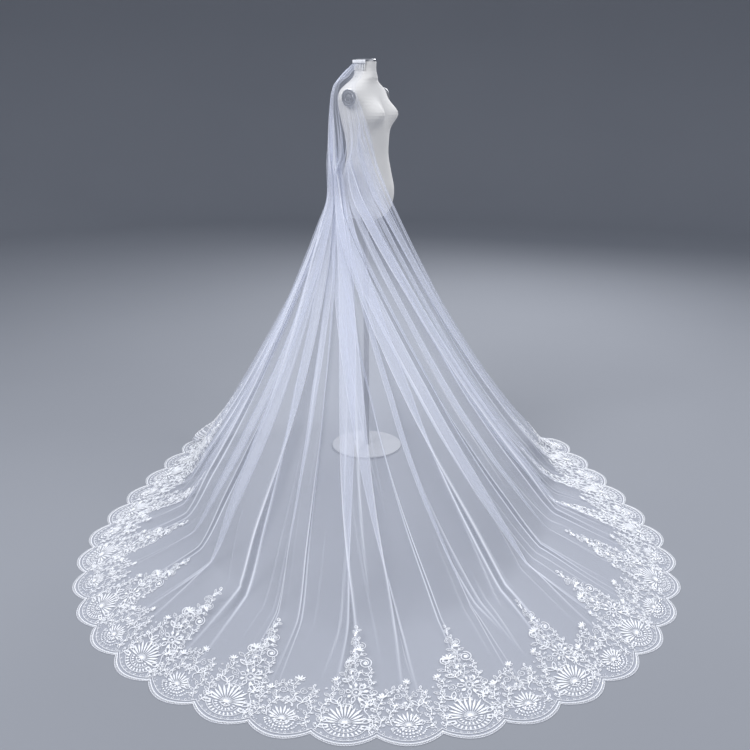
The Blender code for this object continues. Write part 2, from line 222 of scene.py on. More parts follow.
@dataclass(frozen=True)
class TulleFinish:
    """Soft sheer net whose creases carry painted highlight: brighter, denser lines."""

    clear: Colour = (0.76, 0.80, 0.94)
    dense_and_highlight: Colour = (0.89, 0.91, 0.98)
    mesh_pitch: float = 0.0016
    mesh_depth: float = 0.14

    def material(self) -> bpy.types.Material:
        """Return the material; the mesh carries 'cover' and 'cloth_place'.

        Returns:
            A new material with this finish.
        """
        paint = Paint("bridal_tulle")
        cover = paint.attribute_value("cover")
        cloth = paint.attribute("cloth_place")
        cells = paint.node(
            "ShaderNodeTexVoronoi",
            {"feature": "DISTANCE_TO_EDGE"},
            {"Vector": cloth, "Scale": 1.0 / self.mesh_pitch, "Randomness": 0.25},
        )
        thread = (1.0 - cells * 5.0).clamped()
        unevenness = paint.noise(paint.stretched(cloth, (9.0, 1.2, 1.0)), 1.0)
        density = cover * (0.9 + 0.2 * unevenness) + (thread - 0.4) * self.mesh_depth * cover
        return paint.finish(
            # cover brightens the colour: painted highlight on creases and fold edges, real density of
            # layers elsewhere
            Base_Color=paint.blend(cover, self.clear, self.dense_and_highlight),
            Roughness=0.75,
            Alpha=density.clamped(),
            Sheen_Weight=0.35,
            Sheen_Roughness=0.4,
            Specular_IOR_Level=0.25,
            Normal=paint.bump(thread, 0.0003, 0.3),
        )


@dataclass(frozen=True)
class ThreadFinish:
    """Twisted embroidery thread, white with a low silky gloss."""

    name: str = "embroidery_thread"
    colour: Colour = (0.93, 0.94, 0.97)
    shade: Colour = (0.78, 0.80, 0.86)
    roughness: float = 0.42
    twist_pitch: float = 0.0011

    def material(self) -> bpy.types.Material:
        """Return the material.

        Returns:
            A new material with this finish.
        """
        paint = Paint(self.name)
        place = paint.place()
        twist = paint.node(
            "ShaderNodeTexWave",
            {"wave_type": "BANDS", "bands_direction": "DIAGONAL"},
            {"Vector": place, "Scale": 1.0 / self.twist_pitch / 6.28, "Distortion": 1.5},
        )
        worn = paint.noise(place, 60.0)
        return paint.finish(
            Base_Color=paint.blend(worn, self.colour, self.shade),
            Roughness=self.roughness + 0.15 * worn,
            Sheen_Weight=0.25,
            Sheen_Roughness=0.35,
            Normal=paint.bump(twist, 0.0004, 0.6),
        )


@dataclass(frozen=True)
class SequinFinish:
    """Clear-coated white sequins and beads."""

    colour: Colour = (0.96, 0.97, 1.0)

    def material(self) -> bpy.types.Material:
        """Return the material.

        Returns:
            A new material with this finish.
        """
        paint = Paint("sequin")
        tint = paint.noise(paint.place(), 35.0)
        return paint.finish(
            Base_Color=paint.blend(tint, self.colour, (0.86, 0.88, 0.95)),
            Metallic=0.25,
            Roughness=0.12 + 0.15 * tint,
            Coat_Weight=1.0,
            Coat_Roughness=0.05,
        )


@dataclass(frozen=True)
class JerseyFinish:
    """Matt white stretch jersey pulled over the form."""

    light: Colour = (0.76, 0.75, 0.74)
    shade: Colour = (0.67, 0.665, 0.66)
    rib_pitch: float = 0.0014

    def material(self) -> bpy.types.Material:
        """Return the material.

        Returns:
            A new material with this finish.
        """
        paint = Paint("form_jersey_knit")
        place = paint.place()
        ribs = paint.node(
            "ShaderNodeTexWave",
            {"wave_type": "RINGS", "rings_direction": "Z"},
            {"Vector": place, "Scale": 1.0 / self.rib_pitch / 6.28, "Distortion": 0.6},
        )
        rows = paint.node(
            "ShaderNodeTexWave",
            {"wave_type": "BANDS", "bands_direction": "Z"},
            {"Vector": place, "Scale": 1.0 / self.rib_pitch / 6.28, "Distortion": 0.4},
        )
        cloudy = paint.noise(place, 14.0)
        return paint.finish(
            Base_Color=paint.blend(cloudy, self.light, self.shade),
            Roughness=0.82 + 0.08 * cloudy,
            Sheen_Weight=0.2,
            Sheen_Roughness=0.5,
            Normal=paint.bump(ribs * 0.5 + rows * 0.5, 0.00015, 0.35),
        )


@dataclass(frozen=True)
class PlateFinish:
    """Turned satin metal of the neck and arm caps."""

    colour: Colour = (0.58, 0.59, 0.62)

    def material(self) -> bpy.types.Material:
        """Return the material.

        Returns:
            A new material with this finish.
        """
        paint = Paint("turned_plate")
        place = paint.place()
        worn = paint.noise(place, 90.0)
        lines = paint.noise(paint.stretched(place, (30.0, 30.0, 900.0)), 1.0)
        return paint.finish(
            Base_Color=paint.blend(worn, self.colour, (0.24, 0.25, 0.28)),
            Metallic=0.85,
            Roughness=0.28 + 0.15 * worn,
            Normal=paint.bump(lines, 0.0001, 0.3),
        )


@dataclass(frozen=True)
class PowderCoatFinish:
    """Grey powder coat with its fine orange peel."""

    colour: Colour = (0.40, 0.41, 0.44)

    def material(self) -> bpy.types.Material:
        """Return the material.

        Returns:
            A new material with this finish.
        """
        paint = Paint("powder_coat")
        place = paint.place()
        peel = paint.noise(place, 420.0)
        scuff = paint.noise(place, 9.0, 4.0)
        return paint.finish(
            Base_Color=paint.blend(scuff, self.colour, (0.33, 0.34, 0.37)),
            Roughness=0.34 + 0.2 * scuff,
            Coat_Weight=0.15,
            Normal=paint.bump(peel, 0.0002, 0.4),
        )


@dataclass(frozen=True)
class CombFinish:
    """Clear-lacquered wire and plastic of the comb."""

    def material(self) -> bpy.types.Material:
        """Return the material.

        Returns:
            A new material with this finish.
        """
        paint = Paint("comb_lacquer")
        worn = paint.noise(paint.place(), 120.0)
        return paint.finish(
            Base_Color=paint.blend(worn, (0.86, 0.86, 0.85), (0.74, 0.74, 0.73)),
            Roughness=0.22 + 0.1 * worn,
            Coat_Weight=0.4,
        )


@dataclass(frozen=True)
class FloorFinish:
    """Plain matt studio floor and wall."""

    light: Colour = (0.27, 0.283, 0.315)
    shade: Colour = (0.25, 0.263, 0.295)

    def material(self) -> bpy.types.Material:
        """Return the material.

        Returns:
            A new material with this finish.
        """
        paint = Paint("studio_floor")
        cloudy = paint.noise(paint.place(), 0.7)
        return paint.finish(
            Base_Color=paint.blend(cloudy, self.light, self.shade),
            Roughness=0.85,
            Specular_IOR_Level=0.15,
        )


# -------------------------------------------------------------- mesh helpers


def unit(vectors: Points) -> Points:
    """Return vectors of length 1."""
    length = np.linalg.norm(vectors, axis=-1, keepdims=True)
    return vectors / np.maximum(length, 1e-12)


def running_length(points: Points) -> Points:
    """Return the length along a line of points, from 0 at the first."""
    steps = np.linalg.norm(np.diff(points, axis=0), axis=1)
    return np.concatenate([[0.0], np.cumsum(steps)])


def running_sum(values: Points, at: Points) -> Points:
    """Return the integral of values over at, from 0 at the first."""
    steps = 0.5 * (values[1:] + values[:-1]) * np.diff(at)
    return np.concatenate([[0.0], np.cumsum(steps)])


def read_columns(at: Points, knots: Points, values: Points) -> Points:
    """Read every column of a table on straight lines between its knots."""
    return np.stack([np.interp(at, knots, column) for column in values.T], axis=1)


def smooth_curve(knots: Points, values: Points, at: Points) -> Points:
    """Read a smooth curve through a table's rows.

    Args:
        knots: where the rows stand.
        values: the rows.
        at: where to read.

    Returns:
        One row for each place in at.
    """
    slopes = np.gradient(values, knots, axis=0)
    seat = np.clip(np.searchsorted(knots, at, side="right") - 1, 0, len(knots) - 2)
    span = (knots[seat + 1] - knots[seat])[:, None]
    step = ((at - knots[seat]) / span[:, 0])[:, None]
    start, end = values[seat], values[seat + 1]
    leave, arrive = slopes[seat] * span, slopes[seat + 1] * span
    return (
        start * (1 + 2 * step) * (1 - step) ** 2
        + leave * step * (1 - step) ** 2
        + end * step**2 * (3 - 2 * step)
        + arrive * step**2 * (step - 1)
    )


def soft_step(values: Points, low: float, high: float) -> Points:
    """Return 0 below low, 1 above high, and a smooth rise between them."""
    share = np.clip((values - low) / (high - low), 0.0, 1.0)
    return share * share * (3 - 2 * share)


def grid_faces(rows: int, columns: int, first: int = 0) -> np.ndarray:
    """Return the quads of a grid whose points are numbered row by row.

    Args:
        rows: how many rows of points.
        columns: how many points in a row.
        first: the first point's number.

    Returns:
        Four vertex numbers for each face.
    """
    row, column = np.meshgrid(np.arange(rows - 1), np.arange(columns - 1), indexing="ij")
    corner = first + row * columns + column
    cells = np.stack([corner, corner + 1, corner + columns + 1, corner + columns], axis=-1)
    return cells.reshape(-1, 4)


def add_mesh(
    name: str,
    points: Points,
    faces: np.ndarray | Faces,
    material: bpy.types.Material,
) -> bpy.types.Object:
    """Make one smooth mesh object that rides on the part's body.

    Args:
        name: the piece's name.
        points: its vertices in metres.
        faces: its faces as vertex numbers.
        material: its material.

    Returns:
        The new object.
    """
    mesh = bpy.data.meshes.new(name)
    cells = faces.tolist() if isinstance(faces, np.ndarray) else faces
    mesh.from_pydata(points.tolist(), [], cells)
    mesh.materials.append(material)
    mesh.shade_smooth()
    thing = bpy.data.objects.new(name, mesh)
    bpy.context.scene.collection.objects.link(thing)
    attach(thing, BODY)
    LOG.info("%s: %d points, %d faces", name, len(points), len(cells))
    return thing


def carry(piece: bpy.types.Object, name: str, values: Points) -> None:
    """Store a number or a vector for each vertex of a piece.

    Args:
        piece: the mesh object.
        name: the attribute's name.
        values: one number or vector for each vertex.
    """
    kind = "FLOAT" if values.ndim == 1 else "FLOAT_VECTOR"
    layer = piece.data.attributes.new(name, kind, "POINT")
    key = "value" if values.ndim == 1 else "vector"
    layer.data.foreach_set(key, values.astype(np.float32).ravel())


# ------------------------------------------------------------- how cloth lies


@dataclass(frozen=True)
class HangingSection:
    """Where the hanging cloth is carried at one height.

    The angles turn from straight behind the form (0) by its right side (90) to
    its front (180).
    """

    first_height: float
    last_height: float
    side: float
    behind: float
    front: float
    first_angle: float
    last_angle: float
    deepest_fold: float


@dataclass(frozen=True)
class TentStation:
    """One place on the way from the hips to the floor.

    side tells where the folds stand: inside the surface (-1) or outside it (+1).
    """

    share: float
    deepest_fold: float
    side: float


@dataclass(frozen=True)
class Fold:
    """One main fold: its share of the width, its strength and its pleats' shift."""

    share: float
    strength: float
    shift: float


@dataclass
class FineCreases:
    """Thin creases that run along the cloth, each over a part of its length."""

    count: int = 110
    seed: int = 11
    shortest: float = 0.16
    longest: float = 0.52
    last_share: float = 0.93
    drift: float = 0.012
    width: float = 0.0045
    height: float = 0.0035
    mark: float = 0.8

    def lines(self) -> Points:
        """Return (place across, drift, first share, last share, strength) rows.

        Returns:
            One row for each crease.
        """
        rng = np.random.default_rng(self.seed)
        across = (np.arange(self.count) + rng.uniform(0.1, 0.9, self.count)) / self.count
        first = rng.uniform(0.10, 0.80, self.count)
        last = first + rng.uniform(self.shortest, self.longest, self.count)
        drift = rng.uniform(-self.drift, self.drift, self.count)
        strength = rng.uniform(0.35, 1.0, self.count)
        rows = [across, drift, first, np.minimum(last, self.last_share), strength]
        return np.stack(rows, axis=1)


@dataclass
class FormFrame:
    """The directions of the dress form in plan."""

    turn: float = math.radians(-25.0)

    def place(self, forward: float, right: float, height: float) -> tuple[float, float, float]:
        """Turn the form's own forward and right distances into a point."""
        cos, sin = math.cos(self.turn), math.sin(self.turn)
        return (forward * cos + right * sin, forward * sin - right * cos, height)


@dataclass
class TrainOutline:
    """The hem's base line: a half circle towards -Y with ends beside the form."""

    centre: tuple[float, float] = (0.045, -0.940)
    radius: float = 1.070
    end_y: float = 0.080
    end_inset: float = 0.210
    taper_power: float = 1.4
    scallops: int = 30
    scallop_depth: float = 0.038
    scallop_rounding: float = 0.8
    contact_centre: tuple[float, float] = (0.020, 0.060)
    contact_half_width: float = 0.850
    contact_reach: float = 1.590

    def base_line(self, samples: int) -> Points:
        """Return points of the base line, evenly spaced from edge to edge.

        Args:
            samples: how many points.

        Returns:
            The points in plan.
        """
        middle = np.array(self.centre)
        back = np.linspace(1.0, 0.0, 80)[:-1]
        side = middle[0] - self.radius + self.end_inset * back**self.taper_power
        first = np.stack([side, middle[1] + (self.end_y - middle[1]) * back], axis=1)
        turn = np.linspace(math.pi, 2 * math.pi, 240)
        front = middle + self.radius * np.stack([np.cos(turn), np.sin(turn)], axis=1)
        last = np.stack([2 * middle[0] - first[::-1, 0], first[::-1, 1]], axis=1)
        outline = np.concatenate([first, front, last])
        length = running_length(outline)
        return read_columns(np.linspace(0.0, length[-1], samples), length, outline)

    def outward(self, line: Points) -> Points:
        """Return the outward directions of a base line in plan."""
        along = unit(np.gradient(line, axis=0))
        return np.stack([along[:, 1], -along[:, 0]], axis=1)

    def swell(self, sigma: Points) -> Points:
        """Return how far the scallops stand out of the base line."""
        wave = np.abs(np.sin(math.pi * self.scallops * sigma))
        return self.scallop_depth * wave**self.scallop_rounding

    def contact(self, hem: Points) -> Points:
        """Return where the cloth that ends at this hem point meets the floor.

        Args:
            hem: the point in plan.

        Returns:
            The place in plan.
        """
        middle = np.array(self.contact_centre)
        ray = hem - middle
        away = float(np.linalg.norm(ray))
        reach = away / math.hypot(ray[0] / self.contact_half_width, ray[1] / self.contact_reach)
        return middle + ray / away * reach


def hanging_sections() -> list[HangingSection]:
    """Set out how the cloth hangs from the comb down to the hips.

    Returns:
        The sections, highest first.
    """
    return [
        HangingSection(1.7377, 1.7377, 0.052, 0.052, 0.052, 27.0, 113.0, 0.0010),
        HangingSection(1.700, 1.700, 0.088, 0.100, 0.074, 20.0, 113.0, 0.005),
        HangingSection(1.645, 1.645, 0.190, 0.122, 0.105, 15.0, 112.0, 0.003),
        HangingSection(1.560, 1.560, 0.197, 0.142, 0.126, 12.0, 122.0, 0.008),
        HangingSection(1.460, 1.460, 0.198, 0.156, 0.144, 11.0, 134.0, 0.024),
        HangingSection(1.330, 1.350, 0.198, 0.166, 0.153, 10.0, 144.0, 0.032),
        HangingSection(1.150, 1.240, 0.204, 0.170, 0.185, 8.0, 152.0, 0.036),
    ]


def tent_stations() -> list[TentStation]:
    """Set out how the cloth spreads from just under the hips to the floor.

    Returns:
        The stations, highest first.
    """
    return [
        TentStation(0.05, 0.036, -0.9),
        TentStation(0.20, 0.050, -0.5),
        TentStation(0.40, 0.070, 0.0),
        TentStation(0.60, 0.085, 0.4),
        TentStation(0.80, 0.085, 0.8),
        TentStation(1.00, 0.045, 1.0),
    ]


def main_folds() -> list[Fold]:
    """Set out the main folds.

    Returns:
        The folds from the first side edge to the last.
    """
    table = (
        (0.60, 0.70, 0.10),
        (0.95, 0.90, -0.12),
        (0.70, 1.10, 0.05),
        (1.25, 0.80, 0.15),
        (0.80, 1.15, -0.10),
        (1.55, 1.20, -0.05),
        (0.75, 0.75, 0.12),
        (1.35, 1.25, 0.08),
        (0.65, 0.90, -0.15),
        (1.50, 1.15, 0.06),
        (0.85, 0.80, -0.08),
        (1.20, 1.10, 0.14),
        (0.75, 1.00, -0.12),
        (1.00, 0.85, 0.10),
        (0.60, 0.70, 0.00),
    )
    return [Fold(*row) for row in table]


@dataclass
class VeilDrape:
    """The surface of the veil as it hangs and lies.

    Every lengthwise line of the cloth runs comb - shoulder - hip - floor - hem.
    Across each row a folding profile takes up the width that the row has no
    room for. cloth_width is the width at the comb; towards the hem the rows
    widen to the hem's own length.
    """

    outline: TrainOutline = field(default_factory=TrainOutline)
    form: FormFrame = field(default_factory=FormFrame)
    sections: list[HangingSection] = field(default_factory=hanging_sections)
    folds: list[Fold] = field(default_factory=main_folds)
    stations: list[TentStation] = field(default_factory=tent_stations)
    creases: FineCreases = field(default_factory=FineCreases)
    columns: int = 1081
    upper_rows: int = 64
    hem_rows: int = 22
    hem_step: float = 0.025
    edge_bias: float = 1.15
    tent_landing: float = 1.3
    cloth_width: float = 4.20
    cloth_flare: float = 1.5
    line_points: int = 400
    lying_height: float = 0.012
    pleat_turn: float = 2.75
    pleat_edge: float = 0.070
    widest_pleat: float = 0.34
    narrowest_pleat: float = 0.12
    widest_half: float = 0.40
    widest_turn: float = 2.0
    halvings: int = 30
    wander: float = 0.22
    lying_part: tuple[float, float] = (0.70, 0.95)
    lying_fade: float = 0.55
    gather_mark: float = 0.35
    swing: float = 0.40
    gathers: tuple[int, int, int] = (5, 6, 4)
    pleat_start: tuple[float, float] = (0.0, 0.28)
    gather_turn: tuple[tuple[float, float], ...] = (
        (0.0, 2.0),
        (0.06, 1.3),
        (0.16, 0.75),
        (0.30, 0.25),
        (0.60, 0.0),
    )

    def build(self) -> None:
        """Work out the surface's points, normals and the mask of its folded edges."""
        self.sigma = np.linspace(0.0, 1.0, self.columns)
        self.hem = self.outline.base_line(self.columns)
        self.out = self.outline.outward(self.hem)
        self.hem_length = running_length(self.hem)[-1]
        base = self._base_surface()
        normals = self._normals(base[:, :, :3])
        self._plan_folds()
        rows = [self._fold_row(index, base, normals) for index in range(len(base))]
        self.points = np.array([row[0] for row in rows])
        self.crease = np.array([row[1] for row in rows])
        self.normals = normals
        self._add_creases()
        self.points[:, :, 2] = np.maximum(self.points[:, :, 2], 0.0)
        self.normals = self._normals(self.points)
        self.normals[self.points[:, :, 2] < self.lying_height] = (0.0, 0.0, 1.0)

    @staticmethod
    def _normals(points: Points) -> Points:
        """Return the outward unit normals of a grid.

        Args:
            points: rows of points, comb first.

        Returns:
            One normal for each point.
        """
        down = np.gradient(points, axis=0)
        across = np.gradient(points, axis=1)
        return unit(np.cross(down, across))

    def _line(self, sigma: float, hem: Points) -> Points:
        """Work out one lengthwise line of the surface.

        Args:
            sigma: its share of the width, from 0 to 1.
            hem: where it ends, in plan.

        Returns:
            Rows of (x, y, z, deepest fold, side), evenly spaced from the comb.
        """
        places = []
        for section in self.sections:
            sweep = section.last_angle - section.first_angle
            turn = math.radians(section.first_angle + sweep * sigma**self.edge_bias)
            reach = section.behind if math.cos(turn) > 0 else section.front
            height = section.first_height
            height += (section.last_height - section.first_height) * sigma
            point = self.form.place(-reach * math.cos(turn), section.side * math.sin(turn), height)
            places.append((*point, section.deepest_fold, -1.0))
        hip = np.array(places[-1][:3])
        contact = self.outline.contact(hem)
        for station in self.stations:
            plan = hip[:2] + (contact - hip[:2]) * station.share
            height = hip[2] * (1 - station.share) ** self.tent_landing
            places.append((*plan, height, station.deepest_fold, station.side))
        middle = 0.5 * (contact + hem)
        places.append((*middle, 0.0, 0.25 * self.stations[-1].deepest_fold, 1.0))
        places.append((*hem, 0.0, 0.0, 1.0))
        table = np.array(places)
        knots = running_length(table[:, :3])
        line = smooth_curve(knots, table, np.linspace(0.0, knots[-1], self.line_points))
        line[:, 2:4] = np.maximum(line[:, 2:4], 0.0)
        return line

    def _base_surface(self) -> Points:
        """Return the surface with no folds, comb first, hem last.

        Returns:
            A row of (x, y, z, deepest fold, side) for each place along and across.
        """
        hem_reach = self.hem_rows * self.hem_step
        inner = np.arange(self.hem_rows, -1, -1) * self.hem_step
        columns = []
        self.totals = []
        for sigma, hem in zip(self.sigma, self.hem):
            line = self._line(sigma, hem)
            length = running_length(line[:, :3])
            upper = np.linspace(0.0, length[-1] - hem_reach, self.upper_rows + 1)[:-1]
            stations = np.concatenate([upper, length[-1] - inner])
            columns.append(read_columns(stations, length, line))
            self.totals.append(length[-1])
        hem_start = np.array(self.totals).mean() - hem_reach
        upper = np.linspace(0.0, hem_start, self.upper_rows + 1)[:-1]
        mean_total = hem_start + hem_reach
        self.row_share = np.concatenate([upper, mean_total - inner]) / mean_total
        return np.stack(columns, axis=1)

    def _pleats(self, turn: float, share: float) -> tuple[Points, Points]:
        """Return the main pleats' lean, and a mask of their folded edges.

        Each fold holds two pleats, one laid outwards and one laid back. Up to a
        turn of 1 the pleats tip over, and from 1 to 2 they grow wider.

        Args:
            turn: how strongly the row is pleated, from 0 to 2.
            share: how far the row is from the comb, from 0 to 1.

        Returns:
            The lean of each column in radians, and the mask from 0 to 1.
        """
        begun = float(soft_step(np.array(share), *self.pleat_start))
        wander = 1.0 + self.wander * np.sin(5.0 * share + 2.1 * self.half_fold)
        strength = self.strength * wander
        wide = self.narrowest_pleat
        wide += (self.widest_pleat - self.narrowest_pleat) * max(0.0, turn - 1.0)
        half = np.minimum(wide * strength, self.widest_half)
        place = self.pleat_place
        first, last = (place + half) / self.pleat_edge, (place - half) / self.pleat_edge
        tip = self.pleat_turn * min(turn, 1.0) * begun
        lean = self.pleat_sign * tip * 0.5 * (np.tanh(first) - np.tanh(last))
        edges = np.maximum(1 - np.tanh(2.2 * first) ** 2, 1 - np.tanh(2.2 * last) ** 2)
        lying = float(soft_step(np.array(share), *self.lying_part))
        return lean, edges * min(1.0, tip / 0.9) * (1.0 - self.lying_fade * lying)

    def _plan_folds(self) -> None:
        """Work out each column's fold, its place in the pleat and its strength."""
        count = len(self.folds)
        shares = np.array([fold.share for fold in self.folds])
        ends = np.concatenate([[0.0], np.cumsum(shares)]) / shares.sum()
        self.phase = np.interp(self.sigma, ends, np.arange(count + 1))
        number = np.minimum(self.phase.astype(int), count - 1)
        self.half_fold = np.minimum((2 * self.phase).astype(int), 2 * count - 1)
        shift = np.array([fold.shift for fold in self.folds])[number]
        self.pleat_sign = np.where(self.half_fold % 2 == 0, 1.0, -1.0)
        self.pleat_place = 2 * self.phase - self.half_fold - 0.5 - shift * self.pleat_sign
        self.strength = np.array([fold.strength for fold in self.folds])[number]
        ripple = np.array(self.gathers)[number % len(self.gathers)]
        self.gather_wave = np.sin(2 * math.pi * ripple * self.phase)

    def _fold_row(self, index: int, base: Points, normals: Points) -> tuple[Points, Points]:
        """Fold one row.

        Args:
            index: the row's number, from the comb.
            base: the surface with no folds.
            normals: its outward normals.

        Returns:
            The row's points, and the mask of its folded edges.
        """
        share = float(self.row_share[index])
        row = base[index]
        width = self.cloth_width + (self.hem_length - self.cloth_width) * share**self.cloth_flare
        room = running_length(row[:, :3])[-1] / width
        places, turns = zip(*self.gather_turn)
        gather = float(np.interp(share, places, turns)) * self.gather_wave
        loose = self.swing * min(1.0, 4 * (1.0 - room)) * np.sin(2 * math.pi * self.phase)
        low, high = 0.0, self.widest_turn
        for _ in range(self.halvings):
            middle = 0.5 * (low + high)
            if np.cos(self._pleats(middle, share)[0] + gather + loose).mean() > room:
                low = middle
            else:
                high = middle
        pleats, edges = self._pleats(low, share)
        lean = pleats + gather + loose
        along = running_sum(np.cos(lean), self.sigma)
        along = along / along[-1]
        rise = running_sum(np.sin(lean), self.sigma) * width
        tallest = max(float(np.ptp(rise)), 1e-6)
        rise = rise - rise.min()
        flat = read_columns(along, self.sigma, row)
        normal = unit(read_columns(along, self.sigma, normals[index]))
        squash = np.minimum(1.0, flat[:, 3] / tallest)
        seat = 0.5 * (flat[:, 4] - 1.0) * squash * tallest
        points = flat[:, :3] + normal * (rise * squash + seat)[:, None]
        return points, np.maximum(edges, self.gather_mark * np.abs(np.sin(gather)))

    def _add_creases(self) -> None:
        """Raise the fine creases along the cloth and add them to the edge mask."""
        for across, drift, first, last, strength in self.creases.lines():
            share = (self.row_share - first) / (last - first)
            body = np.sin(math.pi * np.clip(share, 0.0, 1.0)) ** 0.6 * strength
            centre = across + drift * share**2
            away = (self.sigma[None, :] - centre[:, None]) * self.cloth_width / self.creases.width
            ridge = np.exp(-(away**2)) * body[:, None]
            self.points += self.normals * (self.creases.height * ridge)[:, :, None]
            self.crease = np.maximum(self.crease, self.creases.mark * ridge)


@dataclass
class TullePanel:
    """The wide sheer panel, from the comb to the scalloped edge."""

    drape: VeilDrape
    finish: TulleFinish = field(default_factory=TulleFinish)
    lift: float = 0.0006
    scallop_rows: int = 3
    single_cover: float = 0.24
    # extra cover on creases and fold edges: painted highlight, brighter and denser there
    crease_highlight_cover: float = 0.70
    back_fullness: float = 0.75
    back_part: tuple[float, float] = (0.50, 0.72)
    thinning: tuple[tuple[float, float], ...] = (
        (0.0, 0.45),
        (0.04, 0.30),
        (0.08, 0.36),
        (0.13, 0.72),
        (0.22, 0.95),
        (0.34, 1.0),
    )
    crease_sharpness: float = 2.2
    edge_width: float = 0.004
    edge_cover: float = 0.85
    densest: float = 0.97

    def build(self) -> bpy.types.Object:
        """Make the panel as one open sheet and return it.

        Returns:
            The panel.
        """
        drape = self.drape
        rows = [drape.points]
        swell = drape.outline.swell(drape.sigma)
        for step in range(1, self.scallop_rows + 1):
            edge = drape.hem + drape.out * (swell * step / self.scallop_rows)[:, None]
            rows.append(np.column_stack([edge, np.zeros(drape.columns)])[None])
        grid = np.concatenate(rows)
        grid[:, :, 2] += self.lift
        panel = add_mesh(
            "tulle_veil",
            grid.reshape(-1, 3),
            grid_faces(*grid.shape[:2]),
            self.finish.material(),
        )
        self._dress(panel, grid)
        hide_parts("tulle_panel")
        return panel

    def _dress(self, panel: bpy.types.Object, grid: Points) -> None:
        """Give the panel its cover, with painted highlight along its creases, and its own cloth
        coordinates.

        Args:
            panel: the piece.
            grid: its points, row by row.
        """
        drape = self.drape
        crease = np.concatenate([drape.crease, np.zeros((self.scallop_rows, drape.columns))])
        # creases and fold edges get extra cover, which is painted highlight: a brighter colour and more
        # alpha there
        cover = self.single_cover + self.crease_highlight_cover * crease**self.crease_sharpness
        places, shares = zip(*self.thinning)
        thin = np.interp(drape.row_share, places, shares)
        thin = np.concatenate([thin, np.ones(self.scallop_rows)])[:, None]
        back = self.back_fullness * (1.0 - soft_step(drape.sigma, *self.back_part))
        cover *= thin + (1.0 - thin) * back[None, :]
        side = np.minimum(drape.sigma, 1.0 - drape.sigma) * drape.cloth_width
        edge = np.exp(-((side / self.edge_width) ** 2))
        cover = np.maximum(cover, self.edge_cover * edge[None, :])
        carry(panel, "cover", np.clip(cover, 0.0, self.densest).ravel())
        steps = np.linalg.norm(np.diff(grid, axis=0), axis=2)
        length = np.cumsum(np.concatenate([np.zeros((1, grid.shape[1])), steps]), axis=0)
        across = np.broadcast_to(drape.sigma * drape.cloth_width, length.shape)
        place = np.stack([across, length, np.zeros_like(length)], axis=-1)
        carry(panel, "cloth_place", place.reshape(-1, 3))


# ----------------------------------------------------------------- embroidery


def pointing(turn: float | Points) -> Points:
    """Return a direction in the cloth's plane: 0 points in from the hem, pi/2 along it."""
    return np.stack([np.sin(turn), np.cos(turn)], axis=-1)


